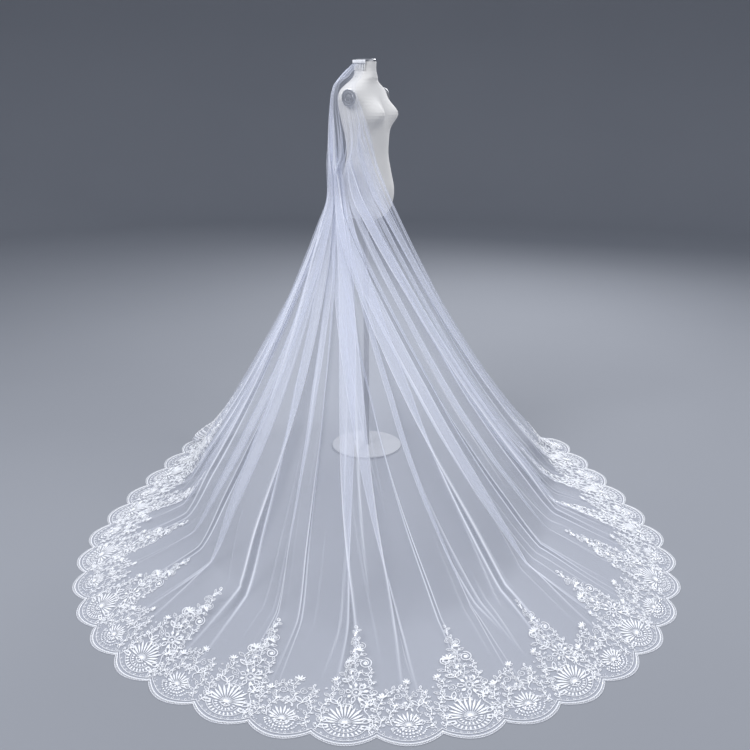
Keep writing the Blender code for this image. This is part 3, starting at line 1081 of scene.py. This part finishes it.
class Stitching:
    """Embroidery in the cloth's own plane: along the hem, in from it, and height."""

    petal_stations: int = 7
    petal_padding: float = 0.45
    leaf_stations: int = 10
    ring_stations: int = 17
    curl_stations: int = 40
    curl_closing: float = 0.75
    curve_stations: int = 60
    sequin_sides: int = 8
    sequin_dome: float = 0.55
    leaf_angle: float = 52.0

    def __init__(self, step: float = 0.0035) -> None:
        """Start with nothing sewn.

        Args:
            step: the length of one stitch.
        """
        self.step = step
        self.points: list[Points] = []
        self.faces: list[np.ndarray] = []
        self.count = 0

    def _keep(self, points: Points, faces: np.ndarray) -> None:
        """Add a small mesh.

        Args:
            points: its vertices.
            faces: its faces, numbered from its own first vertex.
        """
        self.points.append(points)
        self.faces.append(faces + self.count)
        self.count += len(points)

    def thread(self, path: Sequence[Sequence[float]] | Points, radius: float) -> None:
        """Sew a raised line of thread along a path.

        Args:
            path: its points.
            radius: the thread's radius.
        """
        path = np.array(path, dtype=float)
        length = running_length(path)
        stations = max(2, int(length[-1] / self.step) + 1)
        line = read_columns(np.linspace(0.0, length[-1], stations), length, path)
        along = unit(np.gradient(line, axis=0))
        side = np.stack([-along[:, 1], along[:, 0]], axis=1) * radius
        rows = np.zeros((stations, 3, 3))
        rows[:, 0, :2] = line - side
        rows[:, 1, :2] = line
        rows[:, 2, :2] = line + side
        rows[:, 1, 2] = radius
        self._keep(rows.reshape(-1, 3), grid_faces(stations, 3))

    def curve(self, knots: Sequence[Sequence[float]], radius: float) -> Points:
        """Sew a line through knots and return its points.

        Args:
            knots: places on it.
            radius: the thread's radius.

        Returns:
            The line's points.
        """
        knots = np.array(knots, dtype=float)
        places = np.linspace(0, len(knots) - 1, self.curve_stations)
        path = smooth_curve(np.arange(len(knots), dtype=float), knots, places)
        self.thread(path, radius)
        return path

    def petal(
        self,
        root: Sequence[float],
        degrees: float,
        length: float,
        width: float,
        fullness: float = 0.7,
    ) -> None:
        """Sew a filled petal; 0 degrees points in from the hem, 90 along it.

        Args:
            root: its narrow end.
            degrees: its direction.
            length: its length.
            width: its greatest width.
            fullness: below 1 it is widest towards its root, above 1 towards its tip.
        """
        share = np.linspace(0.0, 1.0, self.petal_stations)
        half = 0.5 * width * np.sin(math.pi * share**fullness) ** 0.8
        along = pointing(math.radians(degrees))
        side = np.array([along[1], -along[0]])
        middle = np.array(root) + share[:, None] * length * along
        rows = np.zeros((len(share), 3, 3))
        rows[:, 0, :2] = middle - half[:, None] * side
        rows[:, 1, :2] = middle
        rows[:, 2, :2] = middle + half[:, None] * side
        rows[:, 1, 2] = self.petal_padding * half + 0.0004
        self._keep(rows.reshape(-1, 3), grid_faces(len(share), 3))

    def leaf(
        self, root: Sequence[float], degrees: float, length: float, width: float, radius: float
    ) -> None:
        """Sew the outline of a pointed leaf.

        Args:
            root: its stem end.
            degrees: its direction.
            length: its length.
            width: its greatest width.
            radius: the thread's radius.
        """
        share = np.linspace(0.0, 1.0, self.leaf_stations)
        half = 0.5 * width * np.sin(math.pi * share)
        along = pointing(math.radians(degrees))
        side = np.array([along[1], -along[0]])
        middle = np.array(root) + share[:, None] * length * along
        path = np.concatenate(
            [middle - half[:, None] * side, (middle + half[:, None] * side)[-2::-1]]
        )
        self.thread(path, radius)

    def ring(self, centre: Sequence[float], size: float, radius: float) -> None:
        """Sew a ring.

        Args:
            centre: its centre.
            size: its radius.
            radius: the thread's radius.
        """
        turn = np.linspace(0.0, 2 * math.pi, self.ring_stations)
        path = np.array(centre) + size * pointing(turn)
        self.thread(path, radius)

    def curl(self, centre: Sequence[float], size: float, turns: float, radius: float) -> None:
        """Sew a spiral.

        Args:
            centre: its centre.
            size: its outer radius.
            turns: how many turns; below 0 it winds back.
            radius: the thread's radius.
        """
        share = np.linspace(0.0, 1.0, self.curl_stations)
        turn = 2 * math.pi * turns * share
        reach = size * (1.0 - self.curl_closing * share)
        path = np.array(centre) + reach[:, None] * pointing(turn)
        self.thread(path, radius)

    def sequin(self, centre: Sequence[float], size: float) -> None:
        """Sew a domed sequin or bead.

        Args:
            centre: its centre.
            size: its radius.
        """
        count = self.sequin_sides
        turn = np.linspace(0.0, 2 * math.pi, count + 1)[:-1]
        rim = np.zeros((count, 3))
        rim[:, :2] = np.array(centre) + size * pointing(turn)
        points = np.concatenate([[[*centre, self.sequin_dome * size]], rim])
        number = np.arange(count)
        faces = np.stack([np.zeros(count, int), 1 + number, 1 + (number + 1) % count], axis=1)
        faces = np.concatenate([faces, faces[:, -1:]], axis=1)
        self._keep(points, faces)

    def spray(
        self,
        knots: Sequence[Sequence[float]],
        leaf: float,
        every: float,
        radius: float = 0.0010,
    ) -> Points:
        """Sew a stem with open leaves on both its sides, and return the leaves' tips.

        Args:
            knots: places on the stem.
            leaf: a leaf's length.
            every: the room between leaves.
            radius: the thread's radius.

        Returns:
            A place near each leaf's tip.
        """
        path = self.curve(knots, radius)
        length = running_length(path)
        places = np.arange(0.5 * every, length[-1], every)
        stations = read_columns(places, length, path)
        along = read_columns(places, length, np.gradient(path, axis=0))
        tips = []
        for number, (station, way) in enumerate(zip(stations, along)):
            heading = math.degrees(math.atan2(way[0], way[1]))
            heading += self.leaf_angle if number % 2 else -self.leaf_angle
            size = leaf * (0.85 + 0.4 * math.sin(1.7 * number + 1.0) ** 2)
            self.leaf(station, heading, size, 0.45 * size, radius)
            tips.append(station + 0.55 * size * pointing(math.radians(heading)))
        return np.array(tips)


@dataclass(frozen=True)
class Fan:
    """A fan of petals over a scallop.

    The petals spread that many degrees to each side; the middle ones are longer.
    """

    root: tuple[float, float]
    petals: int
    spread: float
    length: float
    longer: float
    width: float
    quill: float = 0.33


@dataclass
class LaceRepeat:
    """One repeat of the border: a large scallop and a small one."""

    pitch: float
    edge: Callable[[Points], Points]
    big: float = 0.25
    small: float = 0.75
    seeds: int = 170
    seed: int = 5
    fringe_points: int = 95
    bold: float = 0.0016
    fine: float = 0.0010

    def sew(self) -> dict[str, Stitching]:
        """Return the repeat's thread, filled petals, sequins and edge cord.

        Returns:
            The four kinds of stitching by name.
        """
        self.thread, self.satin = Stitching(), Stitching()
        self.beads, self.cord = Stitching(), Stitching(0.003)
        self._edge()
        self._fan(Fan((self.big * self.pitch, 0.050), 13, 86.0, 0.060, 0.020, 0.0078))
        self._fan(Fan((self.small * self.pitch, 0.040), 11, 84.0, 0.042, 0.012, 0.0062))
        self._rays((self.big * self.pitch, 0.046))
        self._dots((self.small * self.pitch, 0.036))
        self._flower((0.128, 0.176))
        self._leaves()
        self._sprays()
        self._sprig()
        self._scatter()
        return {
            "thread": self.thread,
            "satin": self.satin,
            "beads": self.beads,
            "cord": self.cord,
        }

    def _edge(self) -> None:
        """Sew the wavy edge: a bright cord, a finer line inside and a picot fringe."""
        along = np.linspace(0.0, self.pitch, 160)
        edge = -self.edge(along)
        self.cord.thread(np.stack([along, edge + 0.009], axis=1), 0.0018)
        self.cord.thread(np.stack([along, edge + 0.001], axis=1), 0.0007)
        self.thread.thread(np.stack([along, edge + 0.020], axis=1), self.fine)
        fringe = np.linspace(0.0, self.pitch, self.fringe_points)
        zigzag = 0.0044 + 0.0032 * np.where(np.arange(self.fringe_points) % 2 == 0, 1.0, -1.0)
        self.cord.thread(np.stack([fringe, zigzag - self.edge(fringe)], axis=1), 0.0005)
        for place in np.arange(0.010, self.pitch - 0.008, 0.019):
            level = -float(self.edge(np.array([place]))[0])
            self.thread.ring((place, level + 0.0250), 0.0034, 0.0007)

    def _fan(self, fan: Fan) -> None:
        """Sew a fan of narrow petals on thread quills, over a small eye.

        Args:
            fan: its place and sizes.
        """
        root = np.array(fan.root)
        quill = fan.quill * fan.length
        for number, degrees in enumerate(np.linspace(-fan.spread, fan.spread, fan.petals)):
            reach = fan.length + fan.longer * math.cos(math.radians(degrees))
            reach *= 0.94 + 0.12 * (number % 2)
            start = root + quill * pointing(math.radians(degrees))
            self.satin.petal(start, degrees, reach - quill, fan.width, 1.3)
            self.thread.thread([root, start], self.fine)
        self.thread.leaf(root - (0.018, 0.008), 90.0, 0.036, 0.013, self.bold)
        self.beads.sequin(root - (0.0, 0.008), 0.0035)

    @staticmethod
    def _on_arc(
        centre: tuple[float, float], reach: float, turn: float | Points, flatness: float = 0.78
    ) -> Points:
        """Return places on a flattened arc round a centre."""
        return np.array(centre) + reach * pointing(turn) * (1.0, flatness)

    def _rays(self, centre: tuple[float, float]) -> None:
        """Sew two arcs of short rays between the large fan and the edge.

        Args:
            centre: the arcs' centre.
        """
        for reach, count, length, width in ((0.025, 9, 0.012, 0.0058), (0.046, 13, 0.015, 0.0064)):
            for degrees in np.linspace(98.0, 262.0, count):
                place = self._on_arc(centre, reach, math.radians(degrees))
                self.satin.petal(place, degrees, length, width, 1.0)
        for reach in (0.041, 0.064):
            turns = np.radians(np.linspace(96.0, 264.0, 40))
            self.thread.thread(self._on_arc(centre, reach, turns), self.fine)
        for side in (-1.0, 1.0):
            self.thread.leaf((centre[0] + side * 0.050, 0.052), side * 62.0, 0.030, 0.013, self.bold)
            self.thread.leaf((centre[0] + side * 0.046, 0.036), side * 100.0, 0.032, 0.012, self.bold)

    def _dots(self, centre: tuple[float, float]) -> None:
        """Sew arcs of sequins between the small fan and the edge.

        Args:
            centre: the arcs' centre.
        """
        for reach, count, size in ((0.022, 7, 0.0040), (0.036, 11, 0.0034), (0.050, 15, 0.0028)):
            for degrees in np.linspace(100.0, 260.0, count):
                place = self._on_arc(centre, reach, math.radians(degrees), 0.8)
                self.beads.sequin(place, size)

    def _flower(self, centre: tuple[float, float]) -> None:
        """Sew the open ring flower.

        Args:
            centre: its middle.
        """
        self.thread.ring(centre, 0.0125, self.bold)
        self.thread.ring(centre, 0.0170, self.fine)
        self.beads.sequin(centre, 0.0040)
        for degrees in np.arange(0.0, 360.0, 40.0):
            root = np.array(centre) + 0.019 * pointing(math.radians(degrees))
            if int(degrees) % 80 == 0:
                self.satin.petal(root, degrees, 0.021, 0.012, 1.3)
            else:
                self.thread.leaf(root, degrees, 0.024, 0.014, self.bold)

    def _leaves(self) -> None:
        """Sew the pairs of open leaves and their stems."""
        pairs = (
            ((0.158, 0.122), -42.0, 40.0),
            ((0.092, 0.222), -66.0, 48.0),
            ((0.318, 0.118), -50.0, 30.0),
            ((0.060, 0.128), -58.0, 20.0),
        )
        for root, first, second in pairs:
            for degrees in (first, second):
                self.thread.leaf(root, degrees, 0.034, 0.0135, 0.0017)
        stems = (
            ((0.158, 0.122), (0.150, 0.105), (0.160, 0.085)),
            ((0.092, 0.222), (0.102, 0.208), (0.108, 0.196)),
            ((0.318, 0.118), (0.306, 0.104), (0.310, 0.088)),
            ((0.060, 0.128), (0.070, 0.120), (0.074, 0.108)),
        )
        for knots in stems:
            self.thread.curve(knots, self.bold)

    def _vine(self, knots: Sequence[Sequence[float]], leaf: float) -> None:
        """Sew a leafy stem with beads in its leaves and a few filled leaves.

        Args:
            knots: places on the stem.
            leaf: a leaf's length.
        """
        tips = self.thread.spray(knots, leaf, 0.62 * leaf, self.fine)
        for number, tip in enumerate(tips):
            if number % 3 == 0:
                self.satin.petal(tip, 70.0 * number, 0.011, 0.0052, 1.0)
            else:
                self.beads.sequin(tip, 0.0022)

    def _sprays(self) -> None:
        """Sew the small sprays that fill the ground."""
        vines = (
            (0.018, ((0.012, 0.020), (0.022, 0.060), (0.012, 0.105), (0.030, 0.140))),
            (0.019, ((0.182, 0.024), (0.196, 0.060), (0.186, 0.100), (0.205, 0.150))),
            (0.019, ((0.040, 0.130), (0.030, 0.165), (0.050, 0.200), (0.040, 0.232))),
            (0.018, ((0.350, 0.020), (0.338, 0.060), (0.350, 0.095), (0.336, 0.135))),
            (0.018, ((0.226, 0.040), (0.220, 0.080), (0.238, 0.115), (0.228, 0.150))),
            (0.019, ((0.276, 0.110), (0.290, 0.145), (0.276, 0.180), (0.290, 0.215))),
            (0.016, ((0.060, 0.115), (0.090, 0.128), (0.118, 0.120))),
            (0.016, ((0.240, 0.105), (0.262, 0.118), (0.292, 0.106))),
            (0.018, ((0.150, 0.190), (0.178, 0.215), (0.168, 0.250), (0.182, 0.275))),
            (0.018, ((0.336, 0.135), (0.350, 0.165), (0.334, 0.195))),
            (0.017, ((0.205, 0.150), (0.230, 0.180), (0.258, 0.190))),
            (0.016, ((0.160, 0.085), (0.172, 0.050), (0.158, 0.020))),
            (0.015, ((0.140, 0.110), (0.170, 0.135), (0.176, 0.165))),
        )
        for leaf, knots in vines:
            self._vine(knots, leaf)
        curls = (
            ((0.250, 0.160), 0.015, 1.6),
            ((0.314, 0.166), 0.014, -1.5),
            ((0.068, 0.178), 0.015, 1.6),
            ((0.182, 0.178), 0.014, -1.6),
            ((0.310, 0.050), 0.012, 1.5),
            ((0.030, 0.095), 0.011, -1.5),
        )
        for centre, size, turns in curls:
            self.thread.curl(centre, size, turns, self.fine)
        for degrees in (-60.0, -25.0, 10.0, 45.0):
            self.satin.petal((0.205, 0.152), degrees, 0.021, 0.0062, 1.4)
            self.satin.petal((0.290, 0.214), degrees, 0.022, 0.0066, 1.4)
            self.satin.petal((0.040, 0.230), degrees - 10.0, 0.019, 0.0060, 1.4)

    def _sprig(self) -> None:
        """Sew the tall curling sprig that rises over the large scallop."""
        self._vine(((0.096, 0.228), (0.070, 0.258), (0.090, 0.300), (0.132, 0.318)), 0.024)
        self._vine(((0.118, 0.212), (0.140, 0.250), (0.126, 0.290), (0.150, 0.345)), 0.023)
        self._vine(((0.132, 0.318), (0.116, 0.350), (0.142, 0.385), (0.124, 0.420), (0.138, 0.452)), 0.020)
        self._vine(((0.102, 0.225), (0.112, 0.260), (0.104, 0.290)), 0.019)
        self.thread.curl((0.160, 0.300), 0.022, 1.7, self.bold)
        self.thread.curl((0.080, 0.300), 0.019, -1.6, self.bold)
        self.thread.curl((0.150, 0.372), 0.015, 1.5, self.fine)
        self.thread.curl((0.112, 0.392), 0.012, -1.5, self.fine)
        self.thread.ring((0.132, 0.460), 0.007, self.fine)
        for degrees in (-70.0, -35.0, 0.0, 35.0, 70.0):
            self.satin.petal((0.090, 0.306), degrees, 0.026, 0.0074, 1.4)
            self.satin.petal((0.140, 0.352), degrees + 20.0, 0.019, 0.0060, 1.4)
        for place in ((0.122, 0.356), (0.126, 0.425), (0.133, 0.436), (0.160, 0.300), (0.108, 0.262)):
            self.beads.sequin(place, 0.0062)

    def _scatter(self) -> None:
        """Sew seed sequins and tiny rings over the ground."""
        rng = np.random.default_rng(self.seed)
        for number in range(self.seeds):
            along = rng.uniform(0.008, self.pitch - 0.008)
            peak = 0.19 + 0.05 * math.sin(2 * math.pi * (along / self.pitch))
            inward = 0.006 + (peak - 0.006) * rng.uniform() ** 0.8
            if number % 3 == 0:
                self.thread.ring((along, inward), rng.uniform(0.0030, 0.0052), 0.0007)
            else:
                self.beads.sequin((along, inward), rng.uniform(0.0014, 0.0026))


@dataclass
class LaceBorder:
    """The embroidered border, sewn on the panel's hem and lying as it lies."""

    drape: VeilDrape
    repeats: int = 15
    lift: float = 0.0018
    thread_finish: ThreadFinish = field(default_factory=ThreadFinish)
    satin_finish: ThreadFinish = field(
        default_factory=lambda: ThreadFinish("satin_stitch", roughness=0.34)
    )
    cord_finish: ThreadFinish = field(
        default_factory=lambda: ThreadFinish("edge_cord_thread", roughness=0.38)
    )
    sequin_finish: SequinFinish = field(default_factory=SequinFinish)

    def build(self) -> list[bpy.types.Object]:
        """Make the border's pieces.

        Returns:
            The two threads, the petals, the sequins and the edge cord.
        """
        pitch = self.drape.hem_length / self.repeats
        repeat = LaceRepeat(pitch, lambda along: self.drape.outline.swell(along / pitch / self.repeats))
        sewn = repeat.sew()
        threads = [
            self._piece(f"lace_thread_{side}", sewn["thread"], pitch, self.thread_finish, span)
            for side, span in (("first", range(8)), ("last", range(8, self.repeats)))
        ]
        satin = self._piece("lace_petals", sewn["satin"], pitch, self.satin_finish)
        beads = self._piece("lace_sequins", sewn["beads"], pitch, self.sequin_finish)
        cord = self._piece("scallop_edge_cord", sewn["cord"], pitch, self.cord_finish)
        for thread in threads:
            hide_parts("lace_border")
        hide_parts("scallop_cord")
        return [*threads, satin, beads, cord]

    def _piece(
        self,
        name: str,
        sewn: Stitching,
        pitch: float,
        finish: ThreadFinish | SequinFinish,
        span: Iterable[int] | None = None,
    ) -> bpy.types.Object:
        """Lay one kind of stitching along the hem, or along a span of repeats.

        Args:
            name: the piece's name.
            sewn: one repeat of it.
            pitch: a repeat's length along the hem.
            finish: what it is sewn with.
            span: which repeats; all of them by default.

        Returns:
            The piece.
        """
        span = list(span or range(self.repeats))
        flat = np.concatenate(sewn.points)
        faces = np.concatenate(sewn.faces)
        places = [self._lay(flat + (repeat * pitch, 0.0, 0.0)) for repeat in span]
        cells = [faces + number * len(flat) for number in range(len(span))]
        cells = [tuple(dict.fromkeys(cell)) for cell in np.concatenate(cells).tolist()]
        return add_mesh(name, np.concatenate(places), cells, finish.material())

    def _lay(self, flat: Points) -> Points:
        """Turn cloth places into points on the draped hem or just outside it.

        Args:
            flat: rows of (along the hem, in from it, height).

        Returns:
            The points.
        """
        drape = self.drape
        column = np.clip(flat[:, 0] / drape.hem_length, 0.0, 1.0) * (drape.columns - 1)
        row = len(drape.points) - 1 - np.maximum(flat[:, 1], 0.0) / drape.hem_step
        first_row = np.minimum(row.astype(int), len(drape.points) - 2)
        first_column = np.minimum(column.astype(int), drape.columns - 2)
        down, across = (row - first_row)[:, None], (column - first_column)[:, None]

        def read(grid: Points) -> Points:
            """Read a grid between its four nearest points.

            Args:
                grid: one value for each point of the drape.

            Returns:
                The values at the stitching's places.
            """
            upper = grid[first_row, first_column] * (1 - across)
            upper = upper + grid[first_row, first_column + 1] * across
            lower = grid[first_row + 1, first_column] * (1 - across)
            lower = lower + grid[first_row + 1, first_column + 1] * across
            return upper * (1 - down) + lower * down

        points = read(drape.points)
        normals = unit(read(drape.normals))
        outside = np.maximum(-flat[:, 1], 0.0)[:, None]
        out = np.column_stack([drape.out, np.zeros(drape.columns)])
        points = points + outside * out[first_column]
        points = points + normals * (self.lift + flat[:, 2])[:, None]
        points[:, 2] = np.maximum(points[:, 2], self.lift)
        return points


@dataclass
class GatherBand:
    """The satin band that holds the gathers on the comb, with its fine pleats."""

    form: FormFrame
    finish: ThreadFinish = field(
        default_factory=lambda: ThreadFinish("band_satin", roughness=0.30, twist_pitch=0.0007)
    )
    bottom: float = 1.738
    height: float = 0.014
    inner_radius: float = 0.0491
    thickness: float = 0.006
    first_angle: float = 25.0
    last_angle: float = 115.0
    pleats: int = 34
    pleat_depth: float = 0.0011
    steps: int = 340
    section_points: int = 20

    def build(self) -> bpy.types.Object:
        """Make the band as a rounded bar whose outside is pleated.

        Returns:
            The band.
        """
        rings = []
        for share in np.linspace(0.0, 1.0, self.steps + 1):
            turn = math.radians(self.first_angle + (self.last_angle - self.first_angle) * share)
            pleat = abs(math.sin(math.pi * self.pleats * share)) * self.pleat_depth
            rings.append(self._ring(turn, pleat))
        points = np.array(rings)
        faces = grid_faces(len(rings), self.section_points).tolist()
        faces += self._seam_faces(len(rings))
        faces.append(tuple(range(self.section_points)))
        last = (len(rings) - 1) * self.section_points
        faces.append(tuple(last + number for number in reversed(range(self.section_points))))
        band = add_mesh(
            "gathering_band", points.reshape(-1, 3), faces, self.finish.material()
        )
        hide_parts("gather_band")
        return band

    def _ring(self, turn: float, pleat: float) -> Points:
        """Return one rounded section of the band.

        Args:
            turn: its angle round the neck.
            pleat: how far its outside stands out there.

        Returns:
            Its points.
        """
        half_height, half_thick = 0.5 * self.height, 0.5 * self.thickness
        middle = self.inner_radius + half_thick
        points = []
        for angle in np.linspace(0.0, 2 * math.pi, self.section_points, endpoint=False):
            across, up = math.cos(angle), math.sin(angle)
            round_off = (abs(across) ** 4 + abs(up) ** 4) ** -0.25
            reach = middle + (half_thick - 0.0004) * across * round_off
            reach -= (self.pleat_depth - pleat) * max(across, 0.0)
            height = self.bottom + half_height + (half_height - 0.0003) * up * round_off
            points.append(
                self.form.place(-reach * math.cos(turn), reach * math.sin(turn), height)
            )
        return np.array(points)

    def _seam_faces(self, rings: int) -> Faces:
        """Return the faces that close each section's ring.

        Args:
            rings: how many sections.

        Returns:
            The faces.
        """
        count = self.section_points
        return [
            (ring * count + count - 1, ring * count, (ring + 1) * count, ring * count + 2 * count - 1)
            for ring in range(rings - 1)
        ]


# ------------------------------------------------------------ form and studio


@dataclass
class DressForm:
    """The dress form, its caps and stand and the comb: CAD shapes, finished here."""

    finishes: dict[str, object] = field(
        default_factory=lambda: {
            "form_torso": JerseyFinish(),
            "neck_cap": PlateFinish(),
            "arm_cap_left": PlateFinish(),
            "arm_cap_right": PlateFinish(),
            "stand_base": PowderCoatFinish(),
            "stand_collar": PowderCoatFinish(),
            "stand_pole": PowderCoatFinish(),
            "comb": CombFinish(),
        }
    )

    def dress(self, nodes: dict[str, bpy.types.Object]) -> None:
        """Give each CAD node its finish.

        Args:
            nodes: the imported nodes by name.
        """
        made: dict[object, bpy.types.Material] = {}
        for name, finish in self.finishes.items():
            if finish not in made:
                made[finish] = finish.material()
            slots = nodes[name].material_slots
            for slot in slots:
                slot.material = made[finish]


@dataclass
class Studio:
    """Plain floor and backdrop, soft lights and the camera."""

    floor_radius: float = 9.5
    wall_height: float = 6.0
    wall_sides: int = 96
    sweep_radius: float = 2.5
    sweep_steps: int = 16
    camera_place: tuple[float, float, float] = (0.04, -4.0, 1.70)
    camera_tilt: float = math.radians(71.44)
    lens: float = 43.2
    sensor: float = 36.0
    world_colour: Colour = (0.62, 0.66, 0.74)
    world_strength: float = 0.80
    transparent_layers: int = 48

    def build(self) -> None:
        """Make the floor, the lights, the world and the camera."""
        self._floor()
        self._world()
        self._light("key_light", (-2.6, -2.4, 4.2), (0.0, -0.4, 0.5), 2.4, 170.0)
        self._light("fill_light", (3.4, -1.6, 3.0), (0.1, -0.2, 0.6), 2.6, 75.0)
        self._light("rim_light", (1.2, 3.4, 3.4), (0.0, -0.3, 0.8), 2.2, 130.0)
        self._camera()
        bpy.context.scene.cycles.transparent_max_bounces = self.transparent_layers
        bpy.context.scene.view_settings.view_transform = "Standard"

    def _floor(self) -> None:
        """Make the round floor with its curved sweep up to a wall all round."""
        profile = [(0.0, 0.0)]
        start = self.floor_radius - self.sweep_radius
        for share in np.linspace(0.0, 1.0, self.sweep_steps + 1):
            turn = 0.5 * math.pi * share
            reach = start + self.sweep_radius * math.sin(turn)
            profile.append((reach, self.sweep_radius * (1 - math.cos(turn))))
        profile.append((self.floor_radius, self.wall_height))
        turns = np.linspace(0.0, 2 * math.pi, self.wall_sides + 1)
        points = [
            (reach * math.cos(turn), reach * math.sin(turn), height)
            for reach, height in profile
            for turn in turns
        ]
        mesh = bpy.data.meshes.new("studio_floor")
        mesh.from_pydata(points, [], grid_faces(len(profile), len(turns)).tolist())
        mesh.materials.append(FloorFinish().material())
        mesh.shade_smooth()
        floor = bpy.data.objects.new("studio_floor", mesh)
        bpy.context.scene.collection.objects.link(floor)

    def _world(self) -> None:
        """Make the pale surroundings."""
        world = bpy.data.worlds.new("studio")
        world.use_nodes = True
        shader = world.node_tree.nodes["Background"]
        shader.inputs["Color"].default_value = (*self.world_colour, 1.0)
        shader.inputs["Strength"].default_value = self.world_strength
        bpy.context.scene.world = world

    def _light(
        self,
        name: str,
        place: tuple[float, float, float],
        target: tuple[float, float, float],
        size: float,
        power: float,
    ) -> None:
        """Add one square soft light that points at a target.

        Args:
            name: its name.
            place: where it stands.
            target: what it lights.
            size: its side.
            power: its power in watts.
        """
        light = bpy.data.lights.new(name, "AREA")
        light.size = size
        light.energy = power
        lamp = bpy.data.objects.new(name, light)
        lamp.location = place
        lamp.rotation_euler = self._aim(place, target)
        bpy.context.scene.collection.objects.link(lamp)

    @staticmethod
    def _aim(place: Sequence[float], target: Sequence[float]) -> tuple[float, float, float]:
        """Return the turn that points an object's -Z at a target."""
        x, y, z = (end - start for start, end in zip(place, target))
        return (math.atan2(math.hypot(x, y), -z), 0.0, math.atan2(y, x) - 0.5 * math.pi)

    def _camera(self) -> None:
        """Add the camera, level with the form's neck and tilted down a little."""
        data = bpy.data.cameras.new("camera")
        data.lens = self.lens
        data.sensor_width = self.sensor
        camera = bpy.data.objects.new("camera", data)
        camera.location = self.camera_place
        camera.rotation_euler = (self.camera_tilt, 0.0, 0.0)
        bpy.context.scene.collection.objects.link(camera)
        bpy.context.scene.camera = camera


def main() -> None:
    """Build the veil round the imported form, in order."""
    logging.basicConfig(level=logging.INFO, format="%(message)s")
    Studio().build()
    DressForm().dress(frame["nodes"])
    drape = VeilDrape()
    drape.build()
    tulle = TullePanel(drape).build()
    lace = LaceBorder(drape).build()
    GatherBand(drape.form).build()


if __name__ == "__main__":
    main()
